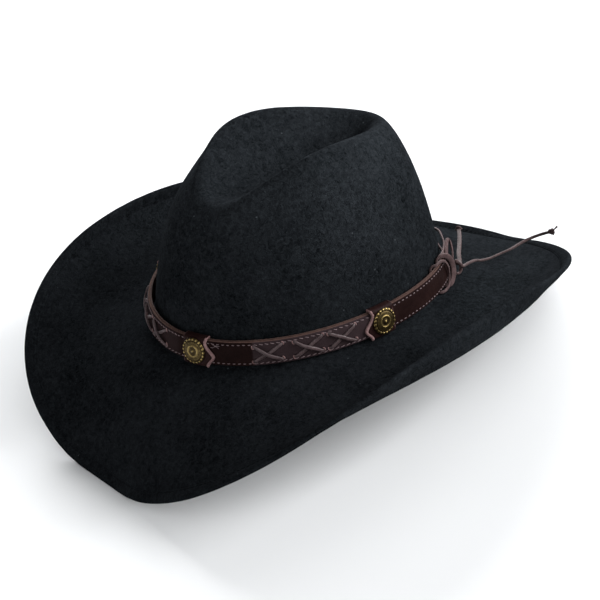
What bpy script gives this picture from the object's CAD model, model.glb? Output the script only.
"""A black felt cowboy hat with a laced leather hatband: its looks, over its CAD pieces.

Scene frame: metres, +Z up, front of the hat towards -Y, wearer's left towards +X. Shapes are
worked out in the hat's own frame, level at the head opening, and tipped by to_scene to rest on
the brim. Angles round the crown are degrees from the front, growing towards the wearer's left.
"""

import math

import bpy
import numpy as np
from mathutils import Matrix, Vector, noise


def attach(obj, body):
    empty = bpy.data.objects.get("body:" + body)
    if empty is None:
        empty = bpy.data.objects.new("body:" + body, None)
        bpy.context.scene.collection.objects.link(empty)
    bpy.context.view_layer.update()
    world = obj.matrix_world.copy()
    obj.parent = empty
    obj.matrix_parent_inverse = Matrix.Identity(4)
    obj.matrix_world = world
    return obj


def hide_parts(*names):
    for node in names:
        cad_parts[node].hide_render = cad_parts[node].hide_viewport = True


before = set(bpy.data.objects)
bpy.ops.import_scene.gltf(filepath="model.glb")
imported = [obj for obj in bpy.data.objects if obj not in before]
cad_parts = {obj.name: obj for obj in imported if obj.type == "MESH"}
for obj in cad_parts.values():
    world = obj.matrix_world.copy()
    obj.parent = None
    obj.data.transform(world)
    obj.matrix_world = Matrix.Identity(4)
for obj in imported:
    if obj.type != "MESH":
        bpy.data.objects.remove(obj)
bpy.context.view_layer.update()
RAD = math.pi / 180

# ------------------------------------------------------------ sizes, as in the CAD
FELT = 0.0024
# head opening, an egg-shaped oval
HEAD_HALF_X, HEAD_HALF_Y, HEAD_EGG, BREAK_RISE = 0.0847, 0.1015, -0.035, 0.0029
# ridge round the top of the crown; its height is a cosine series
RIM_HALF_X, RIM_HALF_Y, RIM_BACK, RIM_EGG = 0.0372, 0.0674, 0.0039, -0.2022
RIM_WAVES = (0.1093, -0.0046, -0.0106, -0.0029)
# crown wall: share of the way in at its shoulder, share of the height at its low control point
SHOULDER, LIFT = 0.403, 0.462
# long dent in the top, and the two finger dents in the wall
DENT_FLOOR, DENT_SHORT, DENT_SHAPE = 0.085, 0.50, 1.7
PINCH_DEPTH, PINCH_AT, PINCH_UP = 0.0060, 52.0, 0.74
# brim, at even angles from front to back: width, slopes in degrees, slope curve
BRIM_WIDTH, BRIM_START = (0.1007, 0.0882, 0.0886), (-24.5, -8.3, -18.2)
BRIM_END, BRIM_END_TWIST = (-71.9, 6.9, 102.3, 29.8, -16.0), (12.3, -7.9, 6.9)
BRIM_POWER = (1.179, 2.956, 1.018)
# how far the rounding reaches at the brim's foot and at the ridge
FILLET_SPREAD, RIM_SPREAD = 0.0034, 0.0075
# how the hat rests on the floor
REST_PITCH, REST_HEIGHT, REST_SOFT, REST_PRESS = 6.5, 0.0504, 0.0012, 0.0010
SCENE_SHIFT = (0.00078, -0.00173)
# hatband: off the wall, lift above the brim's foot, drop of that lift, height, leather
BAND_STAND, BAND_LIFT, BAND_DROP, BAND_HEIGHT = 0.0026, 0.0032, 0.0012, 0.0168
BACKING, FRONT = 0.0011, 0.0015
FACE = BACKING + FRONT
BAND_MIDDLE, BAND_HALF_ARC = -24.5, 163.0
ENDS = (BAND_MIDDLE - BAND_HALF_ARC, BAND_MIDDLE + BAND_HALF_ARC)
CONCHO_STEP, CONCHO_R = 74.0, 0.00875
CONCHOS = [BAND_MIDDLE + CONCHO_STEP * 1.5 - CONCHO_STEP * k for k in range(4)]
# laced crosses, in degrees past the concho each group follows
CROSS_OFFSETS = ((29.8, 44.8, 57.5), (24.5, 37.5, 50.9), (29.8, 44.8, 57.5))
CROSS_HALF, HOLE_ROWS = 0.0088, (0.0036, 0.0130)
STITCH_ROWS = (0.0019, BAND_HEIGHT - 0.0024)

# mesh steps
AROUND = 420
BAND_STEPS = 760
DENT_N, WALL_N, BRIM_N = 18, 40, 60


# ------------------------------------------------------------ sums on points
def bell(value, middle, width, power=2):
    return np.exp(-((value - middle) / width) ** power)


def unit(vectors, least=0.0):
    return vectors / (np.linalg.norm(vectors, axis=-1, keepdims=True) + least)


def arc_length(points):
    """Distance along a line of points, starting at 0."""
    return np.concatenate([[0], np.cumsum(np.linalg.norm(np.diff(points, axis=0), axis=1))])


def sample(at, run, points):
    return np.stack([np.interp(at, run, column) for column in points.T], axis=-1)


def spline(points, count):
    """count points evenly spaced on a smooth curve through the given ones."""
    points = np.asarray(points, float)
    longer = np.vstack([2 * points[0] - points[1], points, 2 * points[-1] - points[-2]])
    step = np.linspace(0, 1, 24, endpoint=False)[:, None]
    dense = []
    for k in range(1, len(longer) - 2):
        before, start, end, after = longer[k - 1:k + 3]
        dense.append(0.5 * (2 * start + (end - before) * step
                            + (2 * before - 5 * start + 4 * end - after) * step * step
                            + (3 * start - before - 3 * end + after) * step ** 3))
    dense = np.vstack(dense + [points[-1]])
    run = arc_length(dense)
    return sample(np.linspace(0, run[-1], count), run, dense)


def ease(values, count):
    """Values spread evenly over count stations."""
    values = np.atleast_1d(values)
    return np.interp(np.linspace(0, 1, count), np.linspace(0, 1, len(values)), values)


def noise_at(points, size, seed):
    shift = Vector((seed, seed * 0.7, -seed))
    return np.array([noise.fractal(Vector(p) / size + shift, 1.0, 2.0, 2) for p in points])


# ------------------------------------------------------------ the hat's shape
def cosine_series(values):
    at = np.linspace(0, math.pi, len(values))
    return np.linalg.solve(np.cos(np.outer(at, np.arange(len(values)))), np.array(values))


WIDTH_SERIES, START_SERIES = cosine_series(BRIM_WIDTH), cosine_series(BRIM_START)
END_SERIES, POWER_SERIES = cosine_series(BRIM_END), cosine_series(BRIM_POWER)


def wave(series, turn):
    return sum(size * math.cos(k * turn) for k, size in enumerate(series))


def head_oval(turn):
    """The brim's foot at an angle in radians, and the level way out from it."""
    x = HEAD_HALF_X * math.sin(turn) * (1 - HEAD_EGG * math.cos(turn))
    y = -HEAD_HALF_Y * math.cos(turn)
    slope_x = HEAD_HALF_X * (math.cos(turn) - HEAD_EGG * math.cos(2 * turn))
    slope_y = HEAD_HALF_Y * math.sin(turn)
    length = math.hypot(slope_x, slope_y)
    foot = np.array([x, y, -BREAK_RISE * math.cos(2 * turn)])
    return foot, np.array([slope_y / length, -slope_x / length, 0.0])


def ridge(turn):
    return np.array([RIM_HALF_X * math.sin(turn) * (1 - RIM_EGG * math.cos(turn)),
                     RIM_BACK - RIM_HALF_Y * math.cos(turn), wave(RIM_WAVES, turn)])


def crown_line(turn, up):
    """Outside of the crown wall for an array of up (0 foot, 1 ridge), with the finger dents."""
    foot, out = head_oval(turn)
    top = ridge(turn)
    away = foot - top
    away[2] = 0
    low = foot + np.array([0, 0, (top[2] - foot[2]) * LIFT]) - away * 0.06
    high = top + away * SHOULDER
    up = np.asarray(up)[:, None]
    down = 1 - up
    line = down ** 3 * foot + 3 * up * down ** 2 * low + 3 * up * up * down * high + up ** 3 * top
    dent = 0
    for side in (1, -1):
        off = (math.degrees(turn) - side * PINCH_AT + 180) % 360 - 180
        dent = dent + bell(off, 0, 22) * bell(up, PINCH_UP, 0.17)
    return line - out * PINCH_DEPTH * dent


def brim_line(turn, steps):
    foot, out = head_oval(turn)
    start = wave(START_SERIES, turn) * RAD
    twist = sum(size * math.sin((k + 1) * turn) for k, size in enumerate(BRIM_END_TWIST))
    end = (wave(END_SERIES, turn) + twist) * RAD
    width, power = wave(WIDTH_SERIES, turn), wave(POWER_SERIES, turn)
    middle = (np.arange(steps) + 0.5) / steps
    slope = start + (end - start) * middle ** power
    run = np.concatenate([[0], np.cumsum(np.cos(slope))]) * width / steps
    rise = np.concatenate([[0], np.cumsum(np.sin(slope))]) * width / steps
    return foot + out * run[:, None] + np.array([0, 0, 1.0]) * rise[:, None]


def dent_line(turn, inward):
    """From the ridge (inward 0) down to the floor of the long dent (inward 1)."""
    top = ridge(turn)
    along = (top[1] - RIM_BACK) * DENT_SHORT
    floor = np.array([0, RIM_BACK + along, DENT_FLOOR + 0.003 * (along / 0.034) ** 2])
    inward = np.asarray(inward)[:, None]
    line = top + (floor - top) * inward
    line[:, 2:] = top[2] + (floor[2] - top[2]) * (1 - (1 - inward) ** DENT_SHAPE)
    return line


TIP = np.array(Matrix.Rotation(-REST_PITCH * RAD, 3, "X"))


def to_scene(points):
    return np.asarray(points) @ TIP.T + np.array([*SCENE_SHIFT, REST_HEIGHT])


def skin():
    """Top surface of the felt, one row per angle, from the dent's floor to the brim's edge."""
    rows = []
    for k in range(AROUND):
        turn = 2 * math.pi * k / AROUND
        rows.append(np.concatenate([dent_line(turn, np.linspace(1, 0, DENT_N + 1)),
                                    crown_line(turn, np.linspace(1, 0, WALL_N + 1)[1:]),
                                    brim_line(turn, BRIM_N)[1:]]))
    grid = np.array(rows)
    for corner, spread, passes in ((DENT_N, RIM_SPREAD, 14), (DENT_N + WALL_N, FILLET_SPREAD, 5)):
        apart = np.linalg.norm(grid - grid[:, corner:corner + 1], axis=-1)
        pull = 0.5 * bell(apart, 0, spread)[:, 1:-1, None]
        for _ in range(passes):
            grid[:, 1:-1] += pull * ((grid[:, :-2] + grid[:, 2:]) / 2 - grid[:, 1:-1])
    grid = to_scene(grid)
    # the brim is pressed softly onto the floor where it would go through
    brim, floor = DENT_N + WALL_N + 6, FELT - REST_PRESS
    z = grid[:, brim:, 2] - floor
    grid[:, brim:, 2] = floor + 0.5 * (z + np.sqrt(z * z + REST_SOFT ** 2))
    return grid


def finer(grid):
    """Twice as many columns, by a Catmull-Rom curve through each row."""
    first, last = 2 * grid[:, :1] - grid[:, 1:2], 2 * grid[:, -1:] - grid[:, -2:-1]
    longer = np.concatenate([first, grid, last], axis=1)
    fine = np.empty((grid.shape[0], 2 * grid.shape[1] - 1, 3))
    fine[:, ::2] = grid
    fine[:, 1::2] = (-longer[:, :-3] + 9 * longer[:, 1:-2] + 9 * longer[:, 2:-1]
                     - longer[:, 3:]) / 16
    return fine


def skin_normals(grid):
    turning = np.roll(grid, -1, 0) - np.roll(grid, 1, 0)
    normal = unit(np.cross(np.gradient(grid, axis=1), turning), 1e-15)
    # both sides share one normal on the dent's floor line
    count = len(grid)
    both = normal[:, 1] + normal[(-np.arange(count)) % count, 1]
    both[:, 0] = 0
    normal[:, 0] = unit(both)
    if normal[0, -1, 2] < 0 and normal[0, 3, 2] < 0:
        normal = -normal
    return normal


GRID = finer(skin())
NORMAL = skin_normals(GRID)
FOOT_COL, EDGE_COL = 2 * (DENT_N + WALL_N), GRID.shape[1] - 1


def edge_points(back, lift):
    """Points a distance back from the brim's edge and a lift above its top, all round."""
    found = []
    for line, normal in zip(GRID[:, :-2 * BRIM_N - 1:-1], NORMAL[:, :-2 * BRIM_N - 1:-1]):
        run = arc_length(line)
        base = sample(max(back, 0), run, line)
        if back < 0:
            base = base - unit(line[0] - line[1]) * back
        found.append(base + unit(sample(max(back, 0), run, normal)) * lift)
    return np.array(found)


# ------------------------------------------------------------ mesh helpers
def build(name, shape, materials, body, replaces=None, attributes=None, sharp=None,
          face_materials=None):
    verts, faces = shape
    mesh = bpy.data.meshes.new(name)
    mesh.from_pydata(np.asarray(verts, float).tolist(), [], [list(map(int, f)) for f in faces])
    for material in materials:
        mesh.materials.append(material)
    if face_materials is not None:
        mesh.polygons.foreach_set("material_index", np.asarray(face_materials, np.int32))
    for key, values in (attributes or {}).items():
        attribute = mesh.attributes.new(key, "FLOAT", "POINT")
        attribute.data.foreach_set("value", np.asarray(values, np.float32))
    mesh.update()
    mesh.shade_smooth()
    if sharp:
        mesh.set_sharp_from_angle(angle=sharp * RAD)
    obj = bpy.data.objects.new(name, mesh)
    bpy.context.scene.collection.objects.link(obj)
    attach(obj, body)
    if replaces:
        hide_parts(replaces)


def grid_faces(rows, cols, wrap_rows=False):
    """Quads over rows of points, each row closing on itself."""
    faces = []
    for i in range(rows if wrap_rows else rows - 1):
        here, there = i * cols, (i + 1) % rows * cols
        for j in range(cols):
            k = (j + 1) % cols
            faces.append([here + j, here + k, there + k, there + j])
    return faces


def facing_out(verts, faces):
    """Turns every face round if the closed shape's volume is negative."""
    verts = np.asarray(verts, float)
    centre = verts.mean(0)
    volume = 0.0
    for face in faces:
        corners = verts[list(face)] - centre
        for k in range(1, len(face) - 1):
            volume += np.dot(corners[0], np.cross(corners[k], corners[k + 1]))
    return faces if volume > 0 else [face[::-1] for face in faces]


def loft(verts, count, closed=False):
    """A solid through count sections in a row; its ends are capped unless it is a closed ring."""
    cols = len(verts) // count
    faces = grid_faces(count, cols, wrap_rows=closed)
    if not closed:
        faces += [list(range(cols))[::-1], list(range((count - 1) * cols, count * cols))]
    return verts, facing_out(verts, faces)


def merge(shapes):
    verts, faces, base = [], [], 0
    for part_verts, part_faces in shapes:
        verts.append(np.asarray(part_verts, float))
        faces += [[i + base for i in face] for face in part_faces]
        base += len(part_verts)
    return np.concatenate(verts), faces


def tube(points, wide, thick, hint, sides, ends, square=1.0, wobble=0.0, seed=0, twist=0.0):
    """A lace or thread along points, with its flat side towards hint.

    ends is the girth left at the tips, square below 1 flattens the round section,
    and twist turns it, in radians.
    """
    points = np.asarray(points, float)
    count = len(points)
    tangent = unit(np.gradient(points, axis=0))
    hint = np.broadcast_to(np.asarray(hint, float), points.shape)
    normal = unit(hint - tangent * np.sum(hint * tangent, axis=1, keepdims=True), 1e-12)
    side = np.cross(tangent, normal)
    run = arc_length(points)
    wide = np.broadcast_to(np.asarray(wide, float), (count,))
    thick = np.broadcast_to(np.asarray(thick, float), (count,))
    near = np.clip(np.minimum(run, run[-1] - run) / (0.5 * float(thick.mean())), 0, 1)
    scale = ends + (1 - ends) * np.sqrt(np.clip(1 - (1 - near) ** 2, 0, 1))
    phase = np.random.default_rng(seed).uniform(0, 6.28, 4)

    def uneven(coarse, fine, first):
        return 1 + wobble * (np.sin(run * coarse + phase[first]) * 0.5
                             + np.sin(run * fine + phase[first + 1]) * 0.5)

    wide = wide * scale * uneven(coarse=900, fine=2300, first=0)
    thick = thick * scale * uneven(coarse=1100, fine=2700, first=2)
    twist = np.broadcast_to(np.asarray(twist, float), (count,))[:, None]
    normal, side = (normal * np.cos(twist) + side * np.sin(twist),
                    side * np.cos(twist) - normal * np.sin(twist))
    angle = np.linspace(0, 2 * math.pi, sides, endpoint=False)
    across, up = [np.sign(v) * np.abs(v) ** square for v in (np.cos(angle), np.sin(angle))]
    verts = (points[:, None] + side[:, None] * (wide[:, None] / 2 * across)[..., None]
             + normal[:, None] * (thick[:, None] / 2 * up)[..., None]).reshape(-1, 3)
    return loft(verts, count)


# ------------------------------------------------------------ materials
class Shader:
    """A Principled material with short calls for its nodes."""

    def __init__(self, name):
        self.mat = bpy.data.materials.new(name)
        self.mat.use_nodes = True
        self.tree = self.mat.node_tree
        self.bsdf = next(n for n in self.tree.nodes if n.type == "BSDF_PRINCIPLED")
        self.coords = self.tree.nodes.new("ShaderNodeTexCoord").outputs["Object"]

    def put(self, socket, value):
        if isinstance(value, bpy.types.NodeSocket):
            self.tree.links.new(value, socket)
        elif isinstance(value, (tuple, list)) and len(value) == 3 and socket.type == "RGBA":
            socket.default_value = (*value, 1)
        else:
            socket.default_value = value

    def node(self, kind, out=0, props=None, **inputs):
        """Inputs go by name, with _ for a space, or by place as i0, i1 and so on."""
        made = self.tree.nodes.new("ShaderNode" + kind)
        for key, value in (props or {}).items():
            setattr(made, key, value)
        for key, value in inputs.items():
            place = int(key[1:]) if key[1:].isdigit() else key.replace("_", " ")
            self.put(made.inputs[place], value)
        return made.outputs[out]

    def math(self, operation, first, second=0.0, clamp=False):
        props = {"operation": operation, "use_clamp": clamp}
        return self.node("Math", props=props, i0=first, i1=second)

    def add(self, first, second, clamp=False):
        return self.math("ADD", first, second, clamp)

    def multiply(self, first, second, clamp=False):
        return self.math("MULTIPLY", first, second, clamp)

    def blend(self, *shares):
        """Sum of (value, share) pairs."""
        parts = [self.multiply(value, share) for value, share in shares]
        total = parts.pop()
        while parts:
            total = self.add(parts.pop(), total)
        return total

    def noise(self, scale, detail=3.0, rough=0.5, distortion=0.0):
        return self.node("TexNoise", Vector=self.coords, Scale=scale, Detail=detail,
                         Roughness=rough, Distortion=distortion)

    def ramp(self, value, low, high, to_low=0.0, to_high=1.0):
        return self.node("MapRange", Value=value, From_Min=low, From_Max=high, To_Min=to_low,
                         To_Max=to_high)

    def mix(self, factor, first, second):
        return self.node("Mix", 2, {"data_type": "RGBA"}, i0=factor, i6=first, i7=second)

    def cells(self, scale, feature="F1", out="Distance"):
        return self.node("TexVoronoi", out, {"feature": feature}, Vector=self.coords, Scale=scale)

    def attribute(self, name):
        return self.node("Attribute", "Fac", {"attribute_name": name})

    def uneven(self, name, mottle, share):
        """A mesh attribute made patchy by a share of noise."""
        patchy = self.attribute(name)
        return self.add(patchy, self.multiply(self.math("SUBTRACT", mottle, 0.5), share))

    def bump(self, height, strength, distance):
        return self.node("Bump", Height=height, Strength=strength, Distance=distance)

    def set(self, **inputs):
        for key, value in inputs.items():
            self.put(self.bsdf.inputs[key.replace("_", " ")], value)
        return self.mat


def felt_material(name, tone=1.0, fleck=1.0):
    """Pressed wool: mottled at several sizes, with paler loose fibres and specks of lint."""
    s = Shader(name)
    broad = s.noise(scale=22, detail=5, rough=0.62)
    mid = s.noise(scale=330, detail=5, rough=0.72, distortion=1.0)
    fine = s.noise(scale=1300, detail=3, rough=0.7, distortion=0.6)
    hair = s.noise(scale=620, detail=2, rough=0.5, distortion=2.4)
    mottle = s.blend((broad, 0.22), (mid, 0.48), (fine, 0.30))
    dark = tuple(c * tone for c in (0.0016, 0.0020, 0.0024))
    light = tuple(c * tone for c in (0.0185, 0.0212, 0.0240))
    base = s.mix(s.ramp(mottle, low=0.38, high=0.64), dark, light)
    off_middle = s.math("ABSOLUTE", s.math("SUBTRACT", hair, 0.5))
    strands = s.multiply(s.ramp(off_middle, low=0.010, high=0.002),
                         s.ramp(mid, low=0.50, high=0.60), clamp=True)
    base = s.mix(s.multiply(strands, 0.45 * fleck), base, (0.040, 0.046, 0.052))
    # lint, then dust: cell scale, share of cells kept, radius in a cell, strength, colour
    for scale, keep, radius, strength, color in (
            (95, (0.50, 0.53), (0.060, 0.030), 0.60, (0.070, 0.078, 0.084)),
            (420, (0.66, 0.72), (0.17, 0.08), 0.40, (0.042, 0.048, 0.054))):
        kept = s.ramp(s.node("SeparateColor", Color=s.cells(scale, out="Color")), *keep)
        specks = s.multiply(s.ramp(s.cells(scale), *radius), kept, clamp=True)
        base = s.mix(s.multiply(specks, strength * fleck), base, color)
    height = s.node("SeparateXYZ", 2, Vector=s.coords)
    nap = s.ramp(height, low=0.085, high=0.150, to_low=0.84, to_high=1.24)
    base = s.node("VectorMath", props={"operation": "SCALE"}, Vector=base, Scale=nap)
    bump = s.bump(s.blend((mid, 0.7), (fine, 0.6)), strength=0.60, distance=0.0009)
    return s.set(Base_Color=base, Roughness=1.0, Specular_IOR_Level=0.0, Sheen_Weight=0.006,
                 Sheen_Roughness=0.35, Sheen_Tint=(0.85, 0.92, 1.0), Normal=bump)


def leather_material(name, dark, light, raw, rough, grain=1.0, zone=None, shine=0.12):
    """Dyed leather whose cut edges (attribute raw) show the undyed middle.

    zone is the colour rubbed in where the attribute zone is high.
    """
    s = Shader(name)
    broad = s.noise(scale=60, detail=4, rough=0.6)
    mid = s.noise(scale=420, detail=4, rough=0.6, distortion=0.4)
    base = s.mix(s.ramp(s.blend((broad, 0.6), (mid, 0.4)), low=0.35, high=0.65), dark, light)
    if zone is not None:
        rubbed = s.attribute("zone")
        patchy = s.ramp(broad, low=0.3, high=0.7, to_low=0.75, to_high=1.0)
        base = s.mix(s.multiply(rubbed, patchy), base, zone)
    fibre = s.noise(scale=900, detail=4, rough=0.7, distortion=1.0)
    edge = s.mix(s.ramp(fibre, low=0.35, high=0.65), tuple(c * 0.62 for c in raw), raw)
    wear = s.ramp(s.uneven("raw", mid, 0.5), low=0.42, high=0.62)
    base = s.mix(wear, base, edge)
    pores = s.cells(1150, "SMOOTH_F1")
    height = s.blend((pores, 0.6), (mid, 0.5), (fibre, 0.35))
    bump = s.bump(height, strength=0.42 * grain, distance=0.00035)
    gloss = s.ramp(mid, low=0.3, high=0.7, to_low=rough - 0.06, to_high=rough + 0.10)
    gloss = s.add(gloss, s.multiply(wear, 0.38), clamp=True)
    return s.set(Base_Color=base, Roughness=gloss, Specular_IOR_Level=shine,
                 Coat_Roughness=0.32, Normal=bump)


def suede_material(name, dark, light, rough=0.78, shine=0.06):
    s = Shader(name)
    coarse = s.noise(scale=260, detail=5, rough=0.65, distortion=0.8)
    fine = s.noise(scale=1900, detail=3, rough=0.7)
    base = s.mix(s.ramp(s.blend((coarse, 0.65), (fine, 0.35)), low=0.36, high=0.64), dark, light)
    bump = s.bump(s.add(coarse, s.multiply(fine, 0.7)), strength=0.6, distance=0.0003)
    return s.set(Base_Color=base, Roughness=rough, Specular_IOR_Level=shine, Sheen_Weight=0.02,
                 Sheen_Roughness=0.5, Normal=bump)


def thread_material(name, dark, light, sheen=0.06, shine=0.25):
    s = Shader(name)
    fibre = s.noise(scale=2600, detail=3, rough=0.6)
    base = s.mix(s.ramp(fibre, low=0.35, high=0.65), dark, light)
    return s.set(Base_Color=base, Roughness=0.7, Specular_IOR_Level=shine, Sheen_Weight=sheen,
                 Normal=s.bump(fibre, strength=0.7, distance=0.0002))


def brass_material(name):
    """Aged brass: dark in the hollows (attribute high near 0), bright on the high spots."""
    s = Shader(name)
    coarse = s.noise(scale=500, detail=5, rough=0.65, distortion=0.6)
    fine = s.noise(scale=2400, detail=3, rough=0.6)
    high = s.uneven("high", coarse, 0.55)
    worn = s.ramp(high, low=0.25, high=0.80)
    base = s.mix(worn, (0.034, 0.022, 0.008), (0.31, 0.225, 0.083))
    tarnish = s.ramp(fine, low=0.55, high=0.75, to_low=0.0, to_high=0.35)
    base = s.mix(tarnish, base, (0.10, 0.075, 0.03))
    bump = s.bump(s.add(coarse, s.multiply(fine, 0.5)), strength=0.35, distance=0.0002)
    gloss = s.ramp(high, low=0.2, high=0.9, to_low=0.46, to_high=0.24)
    return s.set(Base_Color=base, Metallic=0.9, Roughness=gloss, Normal=bump)


def metal_material(name, color, rough):
    s = Shader(name)
    mottle = s.noise(scale=900, detail=4, rough=0.6, distortion=0.3)
    dark = tuple(c * 0.8 for c in color)
    base = s.mix(s.ramp(mottle, low=0.3, high=0.7), dark, color)
    gloss = s.ramp(mottle, low=0.3, high=0.7, to_low=rough * 0.8, to_high=rough * 1.3)
    return s.set(Base_Color=base, Metallic=1.0, Roughness=gloss,
                 Normal=s.bump(mottle, strength=0.2, distance=0.0001))


def woven_material(name, color, scale, rough=0.75, sheen=0.2):
    """Fine ribs up and across."""
    s = Shader(name)
    ribs = [s.node("TexWave", 1, {"wave_type": "BANDS", "bands_direction": direction},
                   Vector=s.coords, Scale=size, Distortion=0.4, Detail=1.0)
            for direction, size in (("Z", scale), ("X", scale * 0.8))]
    weave = s.math("MAXIMUM", ribs[0], s.multiply(ribs[1], 0.8))
    base = s.mix(weave, tuple(c * 0.55 for c in color), color)
    return s.set(Base_Color=base, Roughness=rough, Sheen_Weight=sheen,
                 Normal=s.bump(weave, strength=0.5, distance=0.0003))


FELT_M = felt_material("black_wool_felt")
FELT_IN = felt_material("black_wool_felt_inside", tone=1.15, fleck=0.6)
STRAP_M = leather_material("brown_strap_leather", dark=(0.0075, 0.0034, 0.0032),
                           light=(0.0150, 0.0070, 0.0062), raw=(0.095, 0.055, 0.046),
                           rough=0.50, zone=(0.0340, 0.0228, 0.0248), shine=0.02)
KEEPER_M = leather_material("brown_keeper_leather", dark=(0.0090, 0.0038, 0.0036),
                            light=(0.0190, 0.0085, 0.0080), raw=(0.26, 0.15, 0.145),
                            rough=0.46, shine=0.03)
BACK_M = leather_material("raw_backing_leather", dark=(0.036, 0.021, 0.018),
                          light=(0.078, 0.048, 0.041), raw=(0.080, 0.050, 0.044),
                          rough=0.80, shine=0.03)
LACE_M = suede_material("lace_leather", dark=(0.034, 0.0205, 0.0205), light=(0.098, 0.063, 0.062))
CROSS_M = suede_material("cross_lace_leather", dark=(0.034, 0.021, 0.022),
                         light=(0.098, 0.067, 0.068), rough=0.40, shine=0.30)
TAIL_M = suede_material("tail_lace_leather", dark=(0.026, 0.0160, 0.0160),
                        light=(0.074, 0.0480, 0.0470))
LACE_PALE = suede_material("lace_leather_pale", dark=(0.130, 0.075, 0.073),
                           light=(0.290, 0.180, 0.175))
STITCH_M = thread_material("waxed_thread", dark=(0.080, 0.054, 0.058), light=(0.200, 0.145, 0.150))
BLACK_THREAD = thread_material("black_thread", dark=(0.0014, 0.0017, 0.0020),
                               light=(0.0080, 0.0092, 0.0105), sheen=0.0, shine=0.0)
SWEAT_M = leather_material("sweatband_leather", dark=(0.010, 0.009, 0.009),
                           light=(0.022, 0.019, 0.018), raw=(0.10, 0.08, 0.07),
                           rough=0.5, grain=0.8)
BRASS_M = brass_material("antique_brass")
SCREW_M = metal_material("screw_brass", color=(0.62, 0.50, 0.26), rough=0.3)
WIRE_M = metal_material("spring_wire", color=(0.5, 0.5, 0.52), rough=0.35)
REED_M = woven_material("reed_cord", color=(0.50, 0.48, 0.43), scale=900, rough=0.6, sheen=0.0)
RIBBON_M = woven_material("grosgrain_ribbon", color=(0.022, 0.022, 0.026), scale=260)
LABEL_M = woven_material("woven_label", color=(0.60, 0.58, 0.53), scale=420)


def repaint(node_name, material):
    """Gives a CAD piece that is kept as it is its material."""
    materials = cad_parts[node_name].data.materials
    materials.clear()
    materials.append(material)


# ------------------------------------------------------------ felt body
FOLD_LIFT = 0.00120
# the sewn line and the folded edge's top: distance back from the edge, lift above the felt's top
SEAM = ((0.0094, 0.0), (0.0088, 0.0), (0.0083, -0.00006), (0.00805, -0.00012), (0.0079, 0.00004),
        (0.00775, 0.00018), (0.0074, 0.00036), (0.0069, 0.00044), (0.0064, 0.00050),
        (0.0059, 0.00066), (0.0053, 0.00082), (0.0045, 0.00098), (0.0036, 0.00110),
        (0.0027, 0.00117), (0.0019, FOLD_LIFT))


def felt_rings():
    """Rings from the dent's floor out over the brim's edge and back inside; where inside starts."""
    rings = [GRID[:, k] for k in range(EDGE_COL - 15)]
    while np.linalg.norm(rings[-1] - GRID[:, -1], axis=1).min() <= 0.0102:
        rings.pop()
    stop = len(rings) - 3
    rings += [edge_points(back, lift) for back, lift in SEAM]
    middle, half = (FOLD_LIFT - FELT) / 2, (FOLD_LIFT + FELT) / 2
    for angle in np.linspace(84, -84, 13) * RAD:
        rings.append(edge_points(0.0017 - 0.0020 * math.cos(angle),
                                 middle + half * math.sin(angle)))
    rings += [edge_points(back, -FELT) for back in (0.0034, 0.0060)]
    inside_from = len(rings)
    columns = list(range(stop, -1, -2))
    if stop % 2:
        columns.append(0)
    rings += [GRID[:, k] - NORMAL[:, k] * FELT for k in columns]
    return np.array(rings), inside_from


def swayed(rings):
    """Small unevenness of hand-blocked felt, none where the hat rests or the band sits."""
    flat = rings.reshape(-1, 3)
    sway = noise_at(flat, 0.075, 3.1) * 0.00045 + noise_at(flat, 0.011, 8.3) * 0.00010
    columns = np.repeat(np.arange(len(rings)), AROUND)
    band_zone = bell(columns, FOOT_COL - 10, 14.0)
    calm = np.clip(flat[:, 2] / 0.010, 0, 1)
    calm = calm * (1 - np.where(columns < FOOT_COL + 20, band_zone, 0))
    turning = np.roll(rings, -1, 1) - np.roll(rings, 1, 1)
    normal = unit(np.cross(np.gradient(rings, axis=0), turning).reshape(-1, 3), 1e-12)
    normal[:AROUND] = 0
    normal[-AROUND:] = 0
    flat = flat + normal * (sway * calm)[:, None]
    flat[:, 2] = np.maximum(flat[:, 2], 0.0)
    return flat.reshape(rings.shape)


def build_felt():
    rings, inside_from = felt_rings()
    rings = swayed(rings)
    # the first and last rings are lines: their two sides share points
    verts, index = [], []
    for j, ring in enumerate(rings):
        zipped = j in (0, len(rings) - 1)
        row = []
        for i in range(AROUND):
            if zipped and i > AROUND // 2:
                row.append(row[AROUND - i])
            else:
                row.append(len(verts))
                verts.append(ring[i])
        index.append(row)
    faces, face_materials = [], []
    for j in range(len(rings) - 1):
        for i in range(AROUND):
            k = (i + 1) % AROUND
            loop = [index[j][i], index[j][k], index[j + 1][k], index[j + 1][i]]
            loop = [v for at, v in enumerate(loop) if v != loop[at - 1]]
            if len(loop) >= 3:
                faces.append(loop)
                face_materials.append(1 if j >= inside_from else 0)
    build("felt_body_skin", (verts, facing_out(verts, faces)), [FELT_M, FELT_IN], "hat",
          "felt_body", face_materials=face_materials)


def build_edge_stitches():
    """Small stitches sunk in the sewn line of the folded edge."""
    line, above = [np.vstack([ring, ring[:1]])
                   for ring in (edge_points(0.0066, 0.00046), edge_points(0.0066, 0.0011))]
    run = arc_length(line)
    count = int(run[-1] / 0.0036)
    arch = 0.00016 * np.sin(np.linspace(0, math.pi, 5))[:, None] - 0.00002
    parts = []
    for k in range(count):
        at = (run[-1] * k / count + np.linspace(0, 0.0025, 5)) % run[-1]
        normal = unit(sample(at, run, above - line))
        points = sample(at, run, line) + normal * arch
        parts.append(tube(points, 0.00042, 0.00036, normal, sides=6, ends=0.4))
    verts, faces = merge(parts)
    verts[:, 2] = np.maximum(verts[:, 2], 0.00002)
    build("brim_edge_stitching", (verts, faces), [BLACK_THREAD], "hat",
          "brim_edge_stitch")


build_felt()
build_edge_stitches()

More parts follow.
